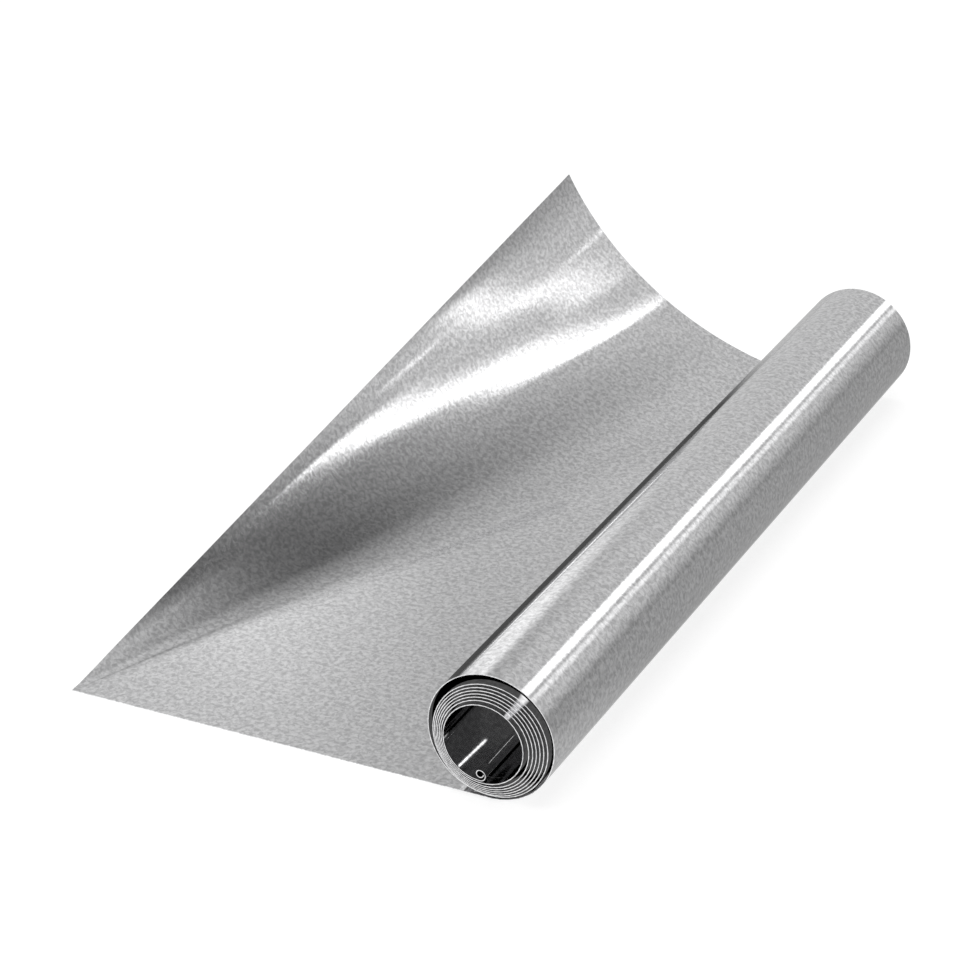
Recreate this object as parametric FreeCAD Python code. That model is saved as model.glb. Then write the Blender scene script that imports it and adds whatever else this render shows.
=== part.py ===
# A roll of bare aluminium foil with its free end drawn out to one side.
# It is one coreless sheet. The free end lies flat on the ground, runs under the roll, climbs
# its right side, crosses the top and winds inward in loose turns, up to a small curl at the
# inner edge. The far corner of the free end lifts clear of the ground.
# Millimetres. +Y runs along the roll, +Z is up, and the free end reaches towards -X.
# Places are given from the line on the ground that the roll rests on, at its near end.
import FreeCAD, Part
import math
import os

# The sheet
GAUGE = 0.25
SHEET_WIDTH = 300.0
FREE_LENGTH = 135.2

# The roll's outline and the gaps between its turns
OUTER_DIAMETER = 38.9
FIRST_TOP_GAP = 2.4
FIRST_BOTTOM_GAP = 0.6
OPEN_GAPS = (0.8, 0.8, 0.8, 0.8, 0.9, 1.5, 0.8)
TIGHT_GAP = 0.3
LEAN = math.radians(60.0)

# The curl at the inner edge
CURL_START = math.radians(58.0)
CURL_NECK_RADIUS = 1.65
CURL_RADIUS = 1.1
CURL_SWEEP = math.radians(270.0)

# The lifted corner, which is part of a wide cone
LIFT_SETBACK = 1.0
APEX_BEYOND_CORNER = 5.0
CONE_HALF_ANGLE = math.radians(18.8)
TIP_BLUNT = 0.4
RULINGS = 25

HALF_TURN = math.pi


# The roll's section: a chain of arcs, each starting where the last one ends and running the
# same way there. An arc is held as its centre, radius, start angle and sweep.
def polar(centre, radius, angle):
    """The section point at a radius and an angle from a centre."""
    return (centre[0] + radius * math.cos(angle), centre[1] + radius * math.sin(angle))


def add_arc(chain, radius, sweep):
    """Continue the chain with a new radius, moving the centre so that the bend stays smooth."""
    centre, last_radius, start, last_sweep = chain[-1]
    turn = start + last_sweep
    chain.append((polar(centre, last_radius - radius, turn), radius, turn, sweep))


def winding():
    """Middle line of the wound sheet, from the ground line to the curl."""
    radius = OUTER_DIAMETER / 2 - GAUGE / 2
    chain = [((0.0, OUTER_DIAMETER / 2), radius, -HALF_TURN / 2, HALF_TURN)]
    radius -= (FIRST_BOTTOM_GAP + GAUGE) / 2
    add_arc(chain, radius, HALF_TURN)
    radius -= (FIRST_TOP_GAP + GAUGE) / 2
    add_arc(chain, radius, HALF_TURN - LEAN)
    for gap in OPEN_GAPS:
        radius -= (TIGHT_GAP + GAUGE) / 2
        add_arc(chain, radius, HALF_TURN)
        radius -= (gap + GAUGE) / 2
        add_arc(chain, radius, HALF_TURN)
    return chain


def curled_winding():
    """The winding, cut short in its last turn and closed with the curl."""
    chain = winding()
    centre, radius, start, sweep = chain[-1]
    chain[-1] = (centre, radius, start, CURL_START)
    add_arc(chain, CURL_NECK_RADIUS, HALF_TURN)
    add_arc(chain, CURL_RADIUS, CURL_SWEEP)
    return chain


def section_vector(point):
    """A section point as a point on the roll's near end."""
    return FreeCAD.Vector(point[0], 0, point[1])


def arc_edge(arc, offset):
    """One arc of the section, set off to the outside by an offset."""
    centre, radius, start, sweep = arc
    first, middle, last = (
        section_vector(polar(centre, radius + offset, start + sweep * share))
        for share in (0, 0.5, 1)
    )
    return Part.Arc(first, middle, last).toShape()


def wound_part():
    """All the turns and the curl as one solid strip."""
    chain = curled_winding()
    outer = [arc_edge(arc, GAUGE / 2) for arc in chain]
    inner = [arc_edge(arc, -GAUGE / 2) for arc in chain]
    centre, radius, start, sweep = chain[-1]
    outer_end = section_vector(polar(centre, radius + GAUGE / 2, start + sweep))
    inner_end = section_vector(polar(centre, radius - GAUGE / 2, start + sweep))
    outer_start = FreeCAD.Vector(0, 0, 0)
    inner_start = FreeCAD.Vector(0, 0, GAUGE)
    ends = [Part.makeLine(outer_end, inner_end), Part.makeLine(inner_start, outer_start)]
    wire = Part.Wire(Part.__sortEdges__(outer + inner + ends))
    return Part.Face(wire).extrude(FreeCAD.Vector(0, SHEET_WIDTH, 0))


# The flat part of the free end, up to the first line along which the corner lifts
NEAR_CORNER = FreeCAD.Vector(-FREE_LENGTH, 0, 0)
LIFT_START = FreeCAD.Vector(-LIFT_SETBACK, SHEET_WIDTH, 0)


def flat_part():
    """The four-sided stretch that lies on the ground."""
    outline = [
        FreeCAD.Vector(0, 0, 0),
        FreeCAD.Vector(0, SHEET_WIDTH, 0),
        LIFT_START,
        NEAR_CORNER,
        FreeCAD.Vector(0, 0, 0),
    ]
    return Part.Face(Part.makePolygon(outline)).extrude(FreeCAD.Vector(0, 0, GAUGE))


# The lifted corner. Straight lines fan out over the sheet from an apex just beyond the near
# corner. The sheet bends only across them, so its size on the flat is kept. A bearing is a
# line's direction on the flat, from +Y towards +X.
def lift_frame():
    """The first line's direction, the direction across it, its bearing and the apex."""
    along = (LIFT_START - NEAR_CORNER).normalize()
    across = FreeCAD.Vector(-along.y, along.x, 0)
    bearing = math.atan2(along.x, along.y)
    return along, across, bearing, NEAR_CORNER - along * APEX_BEYOND_CORNER


def lift_bearings():
    """Bearings that share out evenly the way along the free edge and the far edge together."""
    along, across, first, apex = lift_frame()
    beside = -FREE_LENGTH - apex.x
    beyond = SHEET_WIDTH - apex.y
    tip = beside / (beyond - TIP_BLUNT)
    whole = beside / tip + apex.y + beyond * (math.tan(first) - tip)
    bearings = []
    for number in range(RULINGS):
        travel = whole * number / (RULINGS - 1)
        middle = beyond * math.tan(first) + apex.y - travel
        tangent = (middle + math.sqrt(middle ** 2 + 4 * beyond * beside)) / (2 * beyond)
        bearings.append(math.atan(tangent))
    return bearings


def lifted_point(bearing, reach, height):
    """The place in space of a point on the flat, and a height above the sheet's underside."""
    along, across, first, apex = lift_frame()
    bend = 1 / math.tan(CONE_HALF_ANGLE)
    square = 1 + bend ** 2
    turn = (first - bearing) * math.sqrt(square)
    cosine = math.cos(turn)
    sine = math.sin(turn)
    line = (bend ** 2 + cosine, math.sqrt(square) * sine, bend * (1 - cosine))
    normal = (bend * (1 - cosine), -bend * math.sqrt(square) * sine, 1 + bend ** 2 * cosine)
    x, y, z = (
        (reach * on_line + height * on_normal) / square
        for on_line, on_normal in zip(line, normal)
    )
    return apex + along * x + across * y + FreeCAD.Vector(0, 0, z)


def edge_curve(edge, height):
    """The free edge or the far edge of the lifted corner, at a height above the underside."""
    along, across, first, apex = lift_frame()
    points = []
    for bearing in lift_bearings():
        reach = (SHEET_WIDTH - apex.y) / math.cos(bearing)
        if edge == "free":
            reach = (-FREE_LENGTH - apex.x) / math.sin(bearing)
        points.append(lifted_point(bearing, reach, height))
    curve = Part.BSplineCurve()
    curve.interpolate(Points=points, Parameters=[float(number) for number in range(RULINGS)])
    return curve.toShape()


def end_face(edges, end):
    """The flat cut that closes the lifted corner along its first or its last line."""
    corners = [edge.Vertexes[end].Point for edge in edges]
    return Part.Face(Part.makePolygon(corners + corners[:1]))


def lifted_part():
    """The raised corner as a solid that meets the flat part along its first line."""
    free_low = edge_curve("free", 0)
    far_low = edge_curve("far", 0)
    free_high = edge_curve("free", GAUGE)
    far_high = edge_curve("far", GAUGE)
    around = [free_low, far_low, far_high, free_high]
    faces = [end_face(around, 0), end_face(around, -1)]
    for one, other in zip(around, around[1:] + around[:1]):
        faces.append(Part.makeRuledSurface(one, other))
    shell = Part.makeShell(faces)
    shell.sewShape()
    solid = Part.Solid(shell)
    if solid.Volume < 0:
        solid.reverse()
    return solid


def foil_sheet():
    """The whole sheet, with the origin below the middle of its box."""
    sheet = wound_part().fuse([flat_part(), lifted_part()]).removeSplitter()
    middle = (OUTER_DIAMETER / 2 - FREE_LENGTH) / 2
    sheet.translate(FreeCAD.Vector(-middle, -SHEET_WIDTH / 2, 0))
    return sheet.Solids[0] if len(sheet.Solids) == 1 else sheet


os.makedirs("parts", exist_ok=True)
foil_sheet().exportStep("parts/foil_sheet.step")
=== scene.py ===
# %% [markdown]
# # A roll of aluminium foil with its free end drawn out
#
# The real object is one sheet of bare aluminium. It was rolled thin between polished rollers,
# cut to width, and wound up with no core. Someone has drawn the free end out to the left, and
# one corner of it has sprung up off the table.
#
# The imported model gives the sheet's place, width and outline. The cells below make the same
# sheet again as a much finer mesh, because bare metal is a mirror: every facet of a coarse mesh
# would show as a break in a reflection.

# %% Load the frame
import math

import bpy
import numpy as np
from mathutils import Matrix, Vector


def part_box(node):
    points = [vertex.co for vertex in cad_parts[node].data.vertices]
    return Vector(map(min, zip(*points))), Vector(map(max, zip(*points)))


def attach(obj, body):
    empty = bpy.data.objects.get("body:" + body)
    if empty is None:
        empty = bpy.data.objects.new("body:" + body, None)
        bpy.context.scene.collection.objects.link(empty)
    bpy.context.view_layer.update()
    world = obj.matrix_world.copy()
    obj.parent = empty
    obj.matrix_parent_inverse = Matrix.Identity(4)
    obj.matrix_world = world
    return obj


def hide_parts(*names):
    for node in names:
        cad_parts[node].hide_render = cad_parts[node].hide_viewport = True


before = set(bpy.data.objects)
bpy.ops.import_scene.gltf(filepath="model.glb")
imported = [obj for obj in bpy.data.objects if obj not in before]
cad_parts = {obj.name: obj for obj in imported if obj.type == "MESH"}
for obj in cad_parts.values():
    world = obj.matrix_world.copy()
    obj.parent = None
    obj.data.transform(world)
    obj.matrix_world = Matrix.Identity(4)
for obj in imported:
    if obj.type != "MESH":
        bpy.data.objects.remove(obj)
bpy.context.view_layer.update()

low, high = (Vector(corner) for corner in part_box("foil_sheet"))
print("sheet's box in mm:", [round(1000 * side, 1) for side in high - low])

# %% [markdown]
# ## The sheet's own sizes
#
# Only the sizes that the box can't tell are written here: the gauge, the roll's diameter, the
# gaps between its turns, the curl at its inner edge and the lifted corner's bend. The width and
# the length of the free end come from the box.

# %% Sizes
MM = 0.001
GAUGE = 0.25 * MM
OUTER_RADIUS = 38.9 / 2 * MM
FIRST_TOP_GAP = 2.4 * MM
FIRST_BOTTOM_GAP = 0.6 * MM
OPEN_GAPS = [gap * MM for gap in (0.8, 0.8, 0.8, 0.8, 0.9, 1.5, 0.8)]
TIGHT_GAP = 0.3 * MM
LEAN = math.radians(60)
CURL_START = math.radians(58)
CURL_NECK_RADIUS = 1.65 * MM
CURL_RADIUS = 1.1 * MM
CURL_SWEEP = math.radians(270)
LIFT_SETBACK = 1.0 * MM
APEX_BEYOND_CORNER = 5.0 * MM
CONE_HALF_ANGLE = math.radians(18.8)
TELESCOPE = 1.6 * MM

WIDTH = high.y - low.y
GROUND_LINE = high.x - OUTER_RADIUS
FREE_LENGTH = GROUND_LINE - low.x
print("free end in mm:", round(FREE_LENGTH / MM, 1), "ground line at x =", round(GROUND_LINE / MM, 1))

# %% [markdown]
# ## The roll's section
#
# A wound sheet keeps its direction from turn to turn, so its section is a chain of arcs that
# run smoothly into each other. Each half turn is a little tighter than the last. The turns
# nest low on the left, which leaves the dark crescent inside the outer turn at the top.

# %% A chain of arcs
def add_arc(chain, radius, sweep):
    """Continue the chain with a new radius, moving the centre so that the bend stays smooth."""
    centre, last_radius, start, last_sweep = chain[-1]
    turn = start + last_sweep
    shift = (last_radius - radius) * np.array([math.cos(turn), math.sin(turn)])
    chain.append((centre + shift, radius, turn, sweep))


def winding():
    """Middle line of the wound sheet: (centre, radius, start angle, sweep) for each arc."""
    radius = OUTER_RADIUS - GAUGE / 2
    chain = [(np.array([0.0, OUTER_RADIUS]), radius, -math.pi / 2, math.pi)]
    radius -= (FIRST_BOTTOM_GAP + GAUGE) / 2
    add_arc(chain, radius, math.pi)
    radius -= (FIRST_TOP_GAP + GAUGE) / 2
    add_arc(chain, radius, math.pi - LEAN)
    for gap in OPEN_GAPS:
        radius -= (TIGHT_GAP + GAUGE) / 2
        add_arc(chain, radius, math.pi)
        radius -= (gap + GAUGE) / 2
        add_arc(chain, radius, math.pi)
    centre, radius, start, sweep = chain[-1]
    chain[-1] = (centre, radius, start, CURL_START)
    add_arc(chain, CURL_NECK_RADIUS, math.pi)
    add_arc(chain, CURL_RADIUS, CURL_SWEEP)
    return chain


chain = winding()
wound_length = sum(radius * sweep for _, radius, _, sweep in chain)
print("arcs:", len(chain), "wound length in mm:", round(wound_length / MM))

# %% [markdown]
# ## The lifted corner
#
# Foil bends easily but hardly stretches. A sheet like that can only bend along straight lines.
# Here they fan out from near the flat corner, so the raised part is a piece of a wide cone that
# touches the table along its first line.

# %% The free end's shape
def free_end(x, y):
    """Underside point and upward normal of each flat-pattern point, x from the ground line."""
    corner = np.array([-FREE_LENGTH, 0.0])
    along = np.array([-LIFT_SETBACK, WIDTH]) - corner
    along /= np.linalg.norm(along)
    across = np.array([-along[1], along[0]])
    apex = corner - along * APEX_BEYOND_CORNER
    offset = np.stack([x, y], -1) - apex
    reach = np.linalg.norm(offset, axis=-1)
    fan = np.arctan2(offset @ across, offset @ along)
    bend = 1 / math.tan(CONE_HALF_ANGLE)
    square = 1 + bend ** 2
    turn = np.clip(fan, 0, None) * math.sqrt(square)
    cosine, sine = np.cos(turn), np.sin(turn)
    line = [(bend ** 2 + cosine) / square, sine / math.sqrt(square), bend * (1 - cosine) / square]
    flat = fan < 0
    line[0] = np.where(flat, np.cos(fan), line[0])
    line[1] = np.where(flat, np.sin(fan), line[1])
    up = [bend * (1 - cosine) / square, -bend * sine / math.sqrt(square),
          (1 + bend ** 2 * cosine) / square]
    axes = [np.append(along, 0), np.append(across, 0), np.array([0, 0, 1.0])]
    point = sum(part[..., None] * axis for part, axis in zip(line, axes)) * reach[..., None]
    normal = sum(part[..., None] * axis for part, axis in zip(up, axes))
    return point + np.append(apex, 0), normal, np.clip(fan, 0, None)


corner_height = free_end(np.array([-FREE_LENGTH]), np.array([WIDTH]))[0][0][2]
print("lifted corner's height in mm:", round(corner_height / MM, 1))

# %% [markdown]
# ## One grid for the whole sheet
#
# Rows run across the sheet and columns run along it, from the free edge to the inner curl. The
# outer turn has the finest columns, because the long highlights lie on it. A very slight
# waviness is added: handled foil is never quite true, and its reflections show it.

# %% Grid of the sheet
ROWS = 90
FREE_STEP = 1.7 * MM
OUTER_STEP = 1.1 * MM
INNER_STEP = 2.0 * MM
CURL_STEP = 0.35 * MM

rows = np.linspace(0, WIDTH, ROWS)
free_columns = np.linspace(-FREE_LENGTH, 0, int(FREE_LENGTH / FREE_STEP) + 1)[:-1]


def soft_waves(along, across, seed, lengths):
    """A smooth, seeded sum of slanting waves, between about -1 and 1."""
    chance = np.random.default_rng(seed)
    total = np.zeros(np.broadcast(along, across).shape)
    for length in lengths:
        heading = chance.uniform(0, math.tau)
        phase = chance.uniform(0, math.tau)
        way = along * math.cos(heading) + across * math.sin(heading)
        total += np.sin(math.tau * way / length + phase)
    return total / len(lengths)


pattern_x, pattern_y = np.meshgrid(free_columns, rows, indexing="ij")
under, normal, fan = free_end(pattern_x, pattern_y)
lift = np.clip(fan / fan.max(), 0, 1)
ripple = 0.05 * MM * soft_waves(pattern_x, pattern_y, 3, (0.11, 0.083, 0.147)) * lift
under = under + normal * ripple[..., None]

turn_points, turn_normals, turn_lengths = [], [], []
travelled = 0.0
for number, (centre, radius, start, sweep) in enumerate(chain):
    step = OUTER_STEP if number < 2 else INNER_STEP if number < len(chain) - 2 else CURL_STEP
    count = max(3, int(radius * sweep / step))
    for share in np.arange(count + (number == len(chain) - 1)) / count:
        angle = start + sweep * share
        outward = np.array([math.cos(angle), 0, math.sin(angle)])
        middle = np.array([centre[0], 0, centre[1]]) + radius * outward
        turn_points.append(middle + outward * GAUGE / 2)
        turn_normals.append(-outward)
        turn_lengths.append(travelled + radius * sweep * share)
    travelled += radius * sweep
turn_points, turn_normals = np.array(turn_points), np.array(turn_normals)
turn_lengths = np.array(turn_lengths)

wound_under = np.repeat(turn_points[:, None], ROWS, axis=1)
outer_turn = math.tau * OUTER_RADIUS
inward = np.clip((turn_lengths - outer_turn) / (travelled - outer_turn), 0, 1)
wound_under[..., 1] = rows - TELESCOPE * np.sqrt(inward)[:, None]
wound_normal = np.repeat(turn_normals[:, None], ROWS, axis=1)
way, width_way = np.meshgrid(turn_lengths, rows, indexing="ij")
fade = np.clip((way - 0.025) / 0.02, 0, 1) * np.clip((0.11 - way) / 0.02, 0, 1)
dents = 0.05 * MM * soft_waves(way, width_way * 0.35, 8, (0.05, 0.071, 0.034)) * fade
wound_under = wound_under + wound_normal * (0.06 * MM * fade + dents)[..., None]

under = np.concatenate([under, wound_under])
normal = np.concatenate([normal, wound_normal])
upper = under + normal * GAUGE
flat_place = np.stack([np.concatenate([pattern_x, way]), np.concatenate([pattern_y, width_way])], -1)
columns = len(under)
shift = np.array([GROUND_LINE, low.y, low.z])
print("grid:", columns, "columns by", ROWS, "rows")

# %% [markdown]
# The two sides and the four cut edges are joined into one closed skin. The cut edges stay
# sharp, as a slitting knife leaves them. The flat pattern is kept as the sheet's texture
# coordinates, in metres, so that rolling marks run round the roll as they do on the real one.

# %% Mesh of the sheet
vertices = np.concatenate([under.reshape(-1, 3), upper.reshape(-1, 3)]) + shift
index = np.arange(columns * ROWS).reshape(columns, ROWS)
top = index + columns * ROWS


def quads(a, b, c, d):
    """Four index arrays as a list of four-sided faces."""
    return np.stack([a.ravel(), b.ravel(), c.ravel(), d.ravel()], -1)


faces = np.concatenate([
    quads(index[:-1, :-1], index[:-1, 1:], index[1:, 1:], index[1:, :-1]),
    quads(top[:-1, :-1], top[1:, :-1], top[1:, 1:], top[:-1, 1:]),
    quads(index[:-1, 0], index[1:, 0], top[1:, 0], top[:-1, 0]),
    quads(index[1:, -1], index[:-1, -1], top[:-1, -1], top[1:, -1]),
    quads(index[0, 1:], index[0, :-1], top[0, :-1], top[0, 1:]),
    quads(index[-1, :-1], index[-1, 1:], top[-1, 1:], top[-1, :-1]),
])
mesh = bpy.data.meshes.new("foil")
mesh.from_pydata(vertices.tolist(), [], faces.tolist())
pattern = mesh.uv_layers.new(name="flat_pattern")
places = np.concatenate([flat_place.reshape(-1, 2), flat_place.reshape(-1, 2)])
pattern.uv.foreach_set("vector", places[faces.ravel()].astype(np.float32).ravel())
mesh.shade_smooth()
mesh.set_sharp_from_angle(angle=math.radians(50))
sheet = bpy.data.objects.new("foil", mesh)
bpy.context.scene.collection.objects.link(sheet)
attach(sheet, "root")
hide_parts("foil_sheet")
print("triangles:", 2 * len(faces))

# %% [markdown]
# ## The finish
#
# Rolled aluminium is satin: a mirror clouded by fine marks of the rollers. The photo shows a
# soft mottled grain about a millimetre across, faint lines along the rolling direction, and a
# few duller, handled patches. The grain varies the grey and a very shallow bump, the lines the
# roughness and the bump, and the patches the roughness. The metal stays a neutral grey.

# %% Node helpers
def add_node(tree, kind, **settings):
    """A new shader node with some of its settings or inputs filled in."""
    node = tree.nodes.new(kind)
    for name, value in settings.items():
        if name in node.inputs:
            node.inputs[name].default_value = value
        else:
            setattr(node, name, value)
    return node


def scale_range(tree, source, low_value, high_value, from_low=0.0, from_high=1.0):
    """A Map Range node that takes a value from one range to another."""
    node = add_node(tree, "ShaderNodeMapRange")
    for name, value in (("From Min", from_low), ("From Max", from_high),
                        ("To Min", low_value), ("To Max", high_value)):
        node.inputs[name].default_value = value
    tree.links.new(source, node.inputs["Value"])
    return node.outputs["Result"]


# %% Rolled grain group
def rolled_grain():
    """Grain, rolling lines and handling marks over the flat pattern, in metres."""
    group = bpy.data.node_groups.new("rolled_grain", "ShaderNodeTree")
    group.interface.new_socket("Place", in_out="INPUT", socket_type="NodeSocketVector")
    group.interface.new_socket("Grain", in_out="OUTPUT", socket_type="NodeSocketFloat")
    group.interface.new_socket("Lines", in_out="OUTPUT", socket_type="NodeSocketFloat")
    group.interface.new_socket("Handling", in_out="OUTPUT", socket_type="NodeSocketFloat")
    start = add_node(group, "NodeGroupInput")
    end = add_node(group, "NodeGroupOutput")
    grain = add_node(group, "ShaderNodeTexNoise", Scale=720.0, Detail=3.0, Roughness=0.55,
                     Distortion=0.6)
    group.links.new(start.outputs["Place"], grain.inputs["Vector"])
    stretch = add_node(group, "ShaderNodeMapping", Scale=(25.0, 900.0, 1.0))
    lines = add_node(group, "ShaderNodeTexNoise", Scale=1.0, Detail=2.0, Roughness=0.5)
    group.links.new(start.outputs["Place"], stretch.inputs["Vector"])
    group.links.new(stretch.outputs["Vector"], lines.inputs["Vector"])
    handling = add_node(group, "ShaderNodeTexNoise", Scale=22.0, Detail=2.0, Roughness=0.5)
    group.links.new(start.outputs["Place"], handling.inputs["Vector"])
    for node, name in ((grain, "Grain"), (lines, "Lines"), (handling, "Handling")):
        group.links.new(node.outputs["Fac"], end.inputs[name])
    return group


# %% Foil material
def foil_material():
    """Satin aluminium with grain, rolling lines and handling marks."""
    material = bpy.data.materials.new("satin_aluminium")
    material.use_nodes = True
    tree = material.node_tree
    tree.nodes.clear()
    output = add_node(tree, "ShaderNodeOutputMaterial")
    shader = add_node(tree, "ShaderNodeBsdfPrincipled", Metallic=1.0)
    place = add_node(tree, "ShaderNodeUVMap", uv_map="flat_pattern")
    marks = add_node(tree, "ShaderNodeGroup", node_tree=rolled_grain())
    tree.links.new(place.outputs["UV"], marks.inputs["Place"])

    tint = add_node(tree, "ShaderNodeMix", data_type="RGBA")
    tint.inputs["A"].default_value = (0.58, 0.58, 0.587, 1)
    tint.inputs["B"].default_value = (0.88, 0.88, 0.888, 1)
    contrast = scale_range(tree, marks.outputs["Grain"], 0.0, 1.0, 0.37, 0.63)
    tree.links.new(contrast, tint.inputs["Factor"])
    tree.links.new(tint.outputs["Result"], shader.inputs["Base Color"])

    clouding = scale_range(tree, marks.outputs["Handling"], 0.06, 0.09, 0.35, 0.65)
    lines = scale_range(tree, marks.outputs["Lines"], -0.005, 0.005, 0.3, 0.7)
    roughness = add_node(tree, "ShaderNodeMath", operation="ADD")
    tree.links.new(clouding, roughness.inputs[0])
    tree.links.new(lines, roughness.inputs[1])
    tree.links.new(roughness.outputs["Value"], shader.inputs["Roughness"])

    relief = add_node(tree, "ShaderNodeMath", operation="ADD")
    fine = scale_range(tree, marks.outputs["Lines"], 0.0, 0.4)
    tree.links.new(marks.outputs["Grain"], relief.inputs[0])
    tree.links.new(fine, relief.inputs[1])
    bump = add_node(tree, "ShaderNodeBump", Strength=0.2, Distance=0.000015)
    tree.links.new(relief.outputs["Value"], bump.inputs["Height"])
    tree.links.new(bump.outputs["Normal"], shader.inputs["Normal"])
    tree.links.new(shader.outputs["BSDF"], output.inputs["Surface"])
    return material


sheet.data.materials.append(foil_material())
print("materials:", [slot.name for slot in sheet.data.materials])

# %% [markdown]
# ## Floor, background and light
#
# The roll lies on a plain white floor. A metal shows its surroundings, so the light is mostly
# shapes to mirror: a long strip of light over the roll gives its streak, a slanting window on
# the right gives the white band over the lifted corner, and dark cards overhead and on the
# right give the grey between them.

# %% Background seen by the camera and in reflections
def seen_directly(tree):
    """One for rays from the camera, and for reflected or passing ones, and nothing otherwise."""
    path = add_node(tree, "ShaderNodeLightPath")
    first = add_node(tree, "ShaderNodeMath", operation="MAXIMUM")
    second = add_node(tree, "ShaderNodeMath", operation="MAXIMUM")
    tree.links.new(path.outputs["Is Camera Ray"], first.inputs[0])
    tree.links.new(path.outputs["Is Glossy Ray"], first.inputs[1])
    tree.links.new(first.outputs["Value"], second.inputs[0])
    tree.links.new(path.outputs["Is Transmission Ray"], second.inputs[1])
    return second.outputs["Value"]


world = bpy.data.worlds.new("studio")
world.use_nodes = True
bpy.context.scene.world = world
tree = world.node_tree
tree.nodes.clear()
ambient = add_node(tree, "ShaderNodeBackground", Color=(1, 1, 1, 1), Strength=0.55)
white = add_node(tree, "ShaderNodeBackground", Color=(1, 1, 1, 1), Strength=1.0)
choice = add_node(tree, "ShaderNodeMixShader")
world_output = add_node(tree, "ShaderNodeOutputWorld")
tree.links.new(seen_directly(tree), choice.inputs["Fac"])
tree.links.new(ambient.outputs["Background"], choice.inputs[1])
tree.links.new(white.outputs["Background"], choice.inputs[2])
tree.links.new(choice.outputs["Shader"], world_output.inputs["Surface"])

# %% Floor
FLOOR_HALF = 8.0
floor_mesh = bpy.data.meshes.new("floor")
floor_mesh.from_pydata(
    [(x * FLOOR_HALF, y * FLOOR_HALF, low.z - 0.05 * MM) for x, y in ((-1, -1), (1, -1), (1, 1), (-1, 1))],
    [], [(0, 1, 2, 3)])
floor = bpy.data.objects.new("floor", floor_mesh)
bpy.context.scene.collection.objects.link(floor)
floor_material = bpy.data.materials.new("white_floor")
floor_material.use_nodes = True
tree = floor_material.node_tree
tree.nodes.clear()
matte = add_node(tree, "ShaderNodeBsdfDiffuse", Color=(0.5, 0.5, 0.5, 1))
glow = add_node(tree, "ShaderNodeEmission", Color=(1, 1, 1, 1))
glow_level = scale_range(tree, seen_directly(tree), 0.0, 0.7)
tree.links.new(glow_level, glow.inputs["Strength"])
both = add_node(tree, "ShaderNodeAddShader")
floor_output = add_node(tree, "ShaderNodeOutputMaterial")
tree.links.new(matte.outputs["BSDF"], both.inputs[0])
tree.links.new(glow.outputs["Emission"], both.inputs[1])
tree.links.new(both.outputs["Shader"], floor_output.inputs["Surface"])
floor_mesh.materials.append(floor_material)

# %% Lamps and cards
LOOK_AT = Vector((GROUND_LINE - 0.07, low.y + WIDTH / 2, 0.02))


def direction(azimuth, elevation):
    """Unit vector of a compass angle from +Y towards +X and a height above the horizon."""
    a, e = math.radians(azimuth), math.radians(elevation)
    return Vector((math.sin(a) * math.cos(e), math.cos(a) * math.cos(e), math.sin(e)))


def facing(place, target, roll=0.0):
    """World matrix of a thing at place whose -Z looks at target, rolled by some degrees."""
    look = (target - place).to_track_quat("-Z", "Y").to_matrix().to_4x4()
    return Matrix.Translation(place) @ look @ Matrix.Rotation(math.radians(roll), 4, "Z")


def lamp(name, place, target, size, radiance, roll=0.0):
    """A rectangular softbox that shows in reflections with a given brightness."""
    data = bpy.data.lights.new(name, "AREA")
    data.shape = "RECTANGLE"
    data.size, data.size_y = size
    data.energy = radiance * math.pi * size[0] * size[1]
    thing = bpy.data.objects.new(name, data)
    thing.matrix_world = facing(place, target, roll)
    thing.visible_camera = False
    bpy.context.scene.collection.objects.link(thing)
    return thing


def smooth_way(points, steps=8):
    """A smooth curve through some rows of numbers, which need not be places."""
    points = np.array(points, float)
    first, last = 2 * points[0] - points[1], 2 * points[-1] - points[-2]
    knots = np.concatenate([[first], points, [last]])
    curve = []
    for before, here, there, beyond in zip(knots, knots[1:], knots[2:], knots[3:]):
        for share in np.arange(steps) / steps:
            curve.append(here + (there - before) * share / 2
                         + (2 * before - 5 * here + 4 * there - beyond) * share ** 2 / 2
                         + (3 * here - before - 3 * there + beyond) * share ** 3 / 2)
    return np.array(curve + [points[-1]])


def soft_mask(tree, value, low_soft, high_soft):
    """One across the middle of a 0 to 1 range, fading to nothing at its two ends."""
    rise = scale_range(tree, value, 0.0, 1.0, 0.0, low_soft)
    fall = scale_range(tree, value, 1.0, 0.0, 1.0 - high_soft, 1.0)
    both = add_node(tree, "ShaderNodeMath", operation="MULTIPLY")
    tree.links.new(rise, both.inputs[0])
    tree.links.new(fall, both.inputs[1])
    return both.outputs["Value"]


def glow_material(name, brightness, inner_soft, outer_soft, start_soft, end_soft):
    """A plain glow that fades out at its borders."""
    material = bpy.data.materials.new(name)
    material.use_nodes = True
    tree = material.node_tree
    tree.nodes.clear()
    place = add_node(tree, "ShaderNodeUVMap", uv_map="place")
    parts = add_node(tree, "ShaderNodeSeparateXYZ")
    tree.links.new(place.outputs["UV"], parts.inputs["Vector"])
    mask = add_node(tree, "ShaderNodeMath", operation="MULTIPLY")
    tree.links.new(soft_mask(tree, parts.outputs["X"], start_soft, end_soft), mask.inputs[0])
    tree.links.new(soft_mask(tree, parts.outputs["Y"], inner_soft, outer_soft), mask.inputs[1])
    clear = add_node(tree, "ShaderNodeBsdfTransparent")
    glow = add_node(tree, "ShaderNodeEmission", Color=(1, 1, 1, 1), Strength=brightness)
    mixed = add_node(tree, "ShaderNodeMixShader")
    output = add_node(tree, "ShaderNodeOutputMaterial")
    tree.links.new(mask.outputs["Value"], mixed.inputs["Fac"])
    tree.links.new(clear.outputs["BSDF"], mixed.inputs[1])
    tree.links.new(glow.outputs["Emission"], mixed.inputs[2])
    tree.links.new(mixed.outputs["Shader"], output.inputs["Surface"])
    return material


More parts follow.
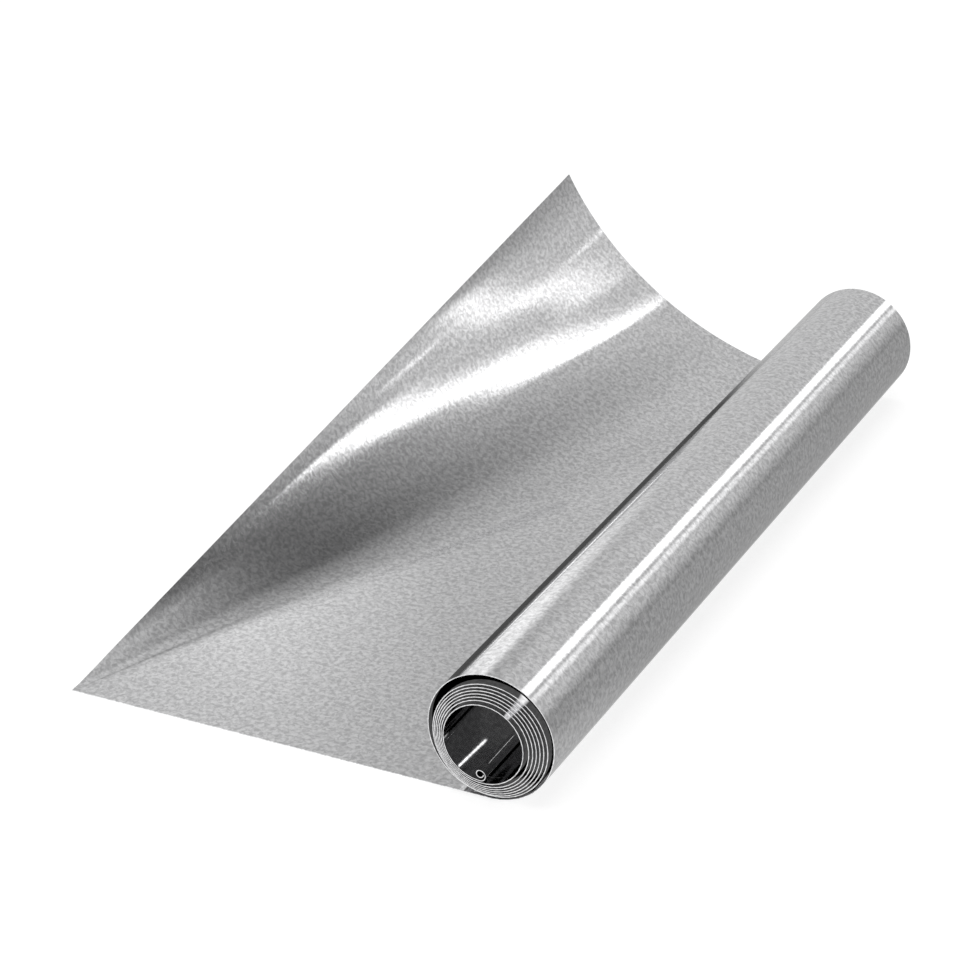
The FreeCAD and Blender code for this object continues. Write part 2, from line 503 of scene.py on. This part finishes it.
def hang(name, data):
    """Put a card on the stage, where only reflections see it."""
    thing = bpy.data.objects.new(name, data)
    bpy.context.scene.collection.objects.link(thing)
    thing.visible_camera = False
    thing.visible_diffuse = False
    thing.visible_shadow = False
    thing.visible_transmission = False
    return thing


def tent(radius, brightness, segments=48, tiers=12):
    """A grey dome over the whole set."""
    points, rings = [], []
    for tier in range(tiers + 1):
        rings.append(range(len(points), len(points) + segments))
        points += [LOOK_AT + radius * direction(360 * i / segments, 90 * tier / tiers - 2)
                   for i in range(segments)]
    data = bpy.data.meshes.new("tent")
    data.from_pydata([tuple(point) for point in points], [],
                     [(low_ring[i], low_ring[(i + 1) % segments], high_ring[(i + 1) % segments], high_ring[i])
                      for low_ring, high_ring in zip(rings, rings[1:]) for i in range(segments)])
    material = bpy.data.materials.new("tent")
    material.use_nodes = True
    tree = material.node_tree
    tree.nodes.clear()
    glow = add_node(tree, "ShaderNodeEmission", Color=(1, 1, 1, 1), Strength=brightness)
    output = add_node(tree, "ShaderNodeOutputMaterial")
    tree.links.new(glow.outputs["Emission"], output.inputs["Surface"])
    data.materials.append(material)
    return hang("tent", data)


def strip_card(name, inner, outer, brightness, inner_soft=0.3, outer_soft=0.3, start_soft=0.1,
               end_soft=0.1):
    """A card between two rows of points, with soft borders, that only reflections see."""
    count = len(inner)
    data = bpy.data.meshes.new(name)
    data.from_pydata([tuple(point) for point in (*inner, *outer)], [],
                     [(i, i + 1, count + i + 1, count + i) for i in range(count - 1)])
    place = data.uv_layers.new(name="place")
    shares = [(i / (count - 1), side) for side in (0, 1) for i in range(count)]
    for loop in data.loops:
        place.uv[loop.index].vector = shares[loop.vertex_index]
    data.materials.append(glow_material(name, brightness, inner_soft, outer_soft, start_soft,
                                        end_soft))
    return hang(name, data)


def arched_card(name, way, distance, brightness, **softness):
    """A bent card on a dome: rows of (compass angle, height, half width) in degrees."""
    rows_of_way = smooth_way(way)
    middle = np.array([direction(azimuth, elevation) for azimuth, elevation, _ in rows_of_way])
    forward = np.gradient(middle, axis=0)
    side = np.cross(forward, middle)
    side /= np.linalg.norm(side, axis=1)[:, None]
    reach = np.tan(np.radians(rows_of_way[:, 2]))[:, None]
    inner = np.array(LOOK_AT) + distance * (middle - side * reach)
    outer = np.array(LOOK_AT) + distance * (middle + side * reach)
    return strip_card(name, inner, outer, brightness, **softness)


def long_card(name, low_angle, high_angle, brightness, **softness):
    """A long straight card beside the roll, between two angles seen from the roll's axis."""
    corners = []
    for angle in (low_angle, high_angle):
        across = GROUND_LINE + ROLL_CARD_DISTANCE * math.cos(math.radians(angle))
        height = OUTER_RADIUS + ROLL_CARD_DISTANCE * math.sin(math.radians(angle))
        corners.append([(across, along, height) for along in ROLL_CARD_SPAN])
    return strip_card(name, corners[0], corners[1], brightness, **softness)


# %% [markdown]
# The roll's streaks come from two long cards beside it, a bright one and a paler one. The white
# bands over the lifted corner come from a bent window and the gap next to it, and the dark
# wedge at the free edge from the dark wall behind them. Angles are compass angles from the
# roll's own direction, and heights over the horizon.

# %% Cards and the lamp
ROLL_CARD_DISTANCE = 1.5
ROLL_CARD_SPAN = (1.6, 3.1)

lamp("overhead", LOOK_AT + Vector((0.0, -0.2, 2.0)), LOOK_AT, (1.6, 1.6), 1.6)
tent(4.4, 0.637)
long_card("bright_strip", 52.5, 70, 1.9, inner_soft=0.3, outer_soft=0.25, start_soft=0.04, end_soft=0.04)
long_card("pale_strip", 37, 50, 1.1, inner_soft=0.4, outer_soft=0.3, start_soft=0.04, end_soft=0.04)
arched_card("dark_wall", [(-22, 24, 7), (-22, 29, 7.5), (-22, 34, 8.5), (-20, 38.5, 8.5), (-16, 43, 7.5),
                          (-11, 46.6, 7.2), (-4, 49.3, 7.4), (4, 51.3, 8.2), (15, 52.3, 8.8), (26, 51.6, 8.2),
                          (36, 49.6, 7.2), (44, 45.6, 6.8), (49.6, 41.2, 6.2), (53.6, 36.4, 5.8),
                          (57.3, 30, 5.8), (59.8, 22, 5.6), (60.8, 14, 5.6), (61, 5, 5.6)],
            3.2, 0.135, inner_soft=0.6, outer_soft=0.3, start_soft=0.42, end_soft=0.03)
arched_card("window", [(33, 39.8, 1.3), (36, 40.3, 1.7), (40.1, 39.3, 1.7), (44.5, 36.5, 1.5), (48.2, 33.6, 1.4),
                       (50.8, 31.3, 1.4), (53.9, 26.9, 1.5), (56.2, 20.9, 1.4), (58.6, 16, 0.6)],
            3.0, 2.2, inner_soft=0.6, outer_soft=0.12, start_soft=0.04, end_soft=0.04)
arched_card("window_gap", [(41.8, 34.4, 0.5), (45.0, 31.4, 0.55), (48.7, 25.4, 0.75), (50.4, 22.6, 0.75),
                           (51.4, 20, 0.7), (52.1, 16, 0.6), (52.2, 11.5, 0.55), (52.4, 6.5, 0.5)],
            3.0, 1.9, end_soft=0.12)
arched_card("spot", [(53.4, 15.4, 0.5), (54.3, 13.8, 0.6), (55.1, 12.2, 0.5)], 3.0, 1.5, start_soft=0.3, end_soft=0.3)
arched_card("far_gap", [(46.2, 21.4, 0.3), (47.4, 22.2, 0.45), (48.4, 23.4, 0.4)],
            3.0, 1.6, start_soft=0.2, end_soft=0.2)
arched_card("pale_wall", [(-39, 2, 4), (-37, 9, 5), (-34.5, 17, 5), (-33, 25, 5.5), (-32, 32, 4.5)], 3.0, 1.12,
            inner_soft=0.5, outer_soft=0.5, end_soft=0.25)
arched_card("grey_wall", [(-34, 39, 3.2), (-28, 38.4, 4.0), (-20, 37.4, 3.4)], 3.1, 0.42,
            inner_soft=0.4, outer_soft=0.2, start_soft=0.2, end_soft=0.3)
arched_card("dark_low", [(12, 2, 12), (33, 2, 12.5), (47, 4, 12), (54.5, 6, 11)], 3.1, 0.34, inner_soft=0.1,
            outer_soft=0.5, end_soft=0.15)
ground_side = GROUND_LINE + 0.55 * OUTER_RADIUS
strip_card("dark_ground", [(ground_side, along, low.z + 0.001) for along in (-0.4, 3.0)],
           [(ground_side + 3.3, along, low.z + 0.001) for along in (-0.4, 3.0)], 0.38,
           inner_soft=0.0015, outer_soft=0.01)


def hollow_card(name, start, end, half_width, tilt, brightness, **softness):
    """A narrow glowing card inside the hollow, between two points in mm from the ground line's near end, that paints
    light seen on the hollow's wall.
    """
    aside = half_width * MM * Vector((math.cos(math.radians(tilt)), 0, math.sin(math.radians(tilt))))
    ends = [Vector((GROUND_LINE, low.y, low.z)) + MM * Vector(point) for point in (start, end)]
    return strip_card(name, [point - aside for point in ends], [point + aside for point in ends],
                      brightness, **softness)


# Painted highlight and painted light: these glowing cards put the bright streak and the pale lit patch on the
# hollow's wall, in place of light bounced many times inside the tube.
hollow_card("hollow_painted_streak", (-1.3, 12.6, 17.35), (-1.8, 30.0, 17.7), 0.38, -39.5, 1.7,
            inner_soft=0.2, outer_soft=0.2, start_soft=0.02, end_soft=0.05)
hollow_card("hollow_painted_lit_patch", (-4.2, 11.0, 7.9), (-3.0, 19.0, 7.3), 0.6, 75, 0.35, end_soft=0.3)


def ring_card(name, low_angle, high_angle, depth, brightness, **softness):
    """A glowing card between the turns, some mm inside the near end, over a range of section angles, that paints
    light in the gaps.
    """
    angles = np.radians(np.linspace(low_angle, high_angle, 49))
    rows = []
    for middle, radius in (((-1.4, 17.7), 12.2), ((0.0, 19.45), 19.2)):
        rows.append([Vector((GROUND_LINE, low.y, low.z))
                     + MM * Vector((middle[0] + radius * math.cos(angle), depth,
                                    middle[1] + radius * math.sin(angle))) for angle in angles])
    return strip_card(name, rows[0], rows[1], brightness, inner_soft=0.01, outer_soft=0.01, **softness)


# Painted light between the turns: a faint glow in the gaps stands in for light bounced many times between them, and a
# painted highlight crosses the turns' edges in line with the roll's streak.
ring_card("gap_painted_glow", 205, 569, 2.2, 0.09, start_soft=0.01, end_soft=0.01)
ring_card("gap_painted_highlight", 50, 61, 2.1, 1.3, start_soft=0.3, end_soft=0.3)
# Painted light deep in the hollow: a faint glowing card there keeps the inside from rendering black.
hollow_card("hollow_painted_glow", (-1.4, 72, 5.2), (-1.4, 72, 30.2), 12.5, 0, 0.08, inner_soft=0.02,
            outer_soft=0.02, start_soft=0.02, end_soft=0.02)
# Painted shade: a dark card beside the roll's foot, seen only in reflections, draws the dark contact line along the
# roll's lower side where it meets the drawn-out sheet.
foot = GROUND_LINE - 20 * MM
strip_card("foot_shade", [(foot, along, low.z + 22 * MM) for along in (low.y + 0.006, low.y + 0.262)],
           [(foot, along, low.z + 34.8 * MM) for along in (low.y + 0.006, low.y + 0.262)], 0.08,
           inner_soft=0.05, outer_soft=0.07, start_soft=0.03, end_soft=0.2)
for name, left, right, near in (("left_ground", -3.0, low.x - 0.003, -0.4),
                                ("far_ground", low.x - 0.003, GROUND_LINE, high.y + 0.003)):
    strip_card(name, [(left, near, low.z + 0.001), (left, 3.0, low.z + 0.001)],
               [(right, near, low.z + 0.001), (right, 3.0, low.z + 0.001)], 0.56,
               inner_soft=0.02, outer_soft=0.001, start_soft=0.001, end_soft=0.02)

# %% [markdown]
# ## Camera
#
# The camera stands to the right of the roll's near end, looking down at it, as in the photo.
# Its place was worked out from the roll's two sides and the sheet's corners.

# %% Camera
VIEW_AZIMUTH = math.radians(25.419)
VIEW_ELEVATION = math.radians(26.407)
VIEW_ROLL = math.radians(0.22)
VIEW_DISTANCE = 1.018589
VIEW_TARGET = Vector((GROUND_LINE - 0.082095, low.y + 0.172292, 0))
FOCAL_PIXELS = 3077.761
FRAME_PIXELS = 980
SENSOR_WIDTH = 36.0

back = Vector((math.sin(VIEW_AZIMUTH) * math.cos(VIEW_ELEVATION),
               -math.cos(VIEW_AZIMUTH) * math.cos(VIEW_ELEVATION), math.sin(VIEW_ELEVATION)))
level = (-back).cross(Vector((0, 0, 1))).normalized()
upright = level.cross(-back)
right = level * math.cos(VIEW_ROLL) + upright * math.sin(VIEW_ROLL)
up = upright * math.cos(VIEW_ROLL) - level * math.sin(VIEW_ROLL)
camera_data = bpy.data.cameras.new("camera")
camera_data.sensor_width = SENSOR_WIDTH
camera_data.lens = FOCAL_PIXELS / FRAME_PIXELS * SENSOR_WIDTH
camera = bpy.data.objects.new("camera", camera_data)
turned = Matrix((right, up, back)).transposed().to_4x4()
camera.matrix_world = Matrix.Translation(VIEW_TARGET + back * VIEW_DISTANCE) @ turned
bpy.context.scene.collection.objects.link(camera)
bpy.context.scene.camera = camera
bpy.context.scene.view_settings.view_transform = "Standard"
print("camera at", [round(value, 3) for value in camera.location], "lens", round(camera_data.lens, 1))

# %% Finish
bpy.context.view_layer.update()
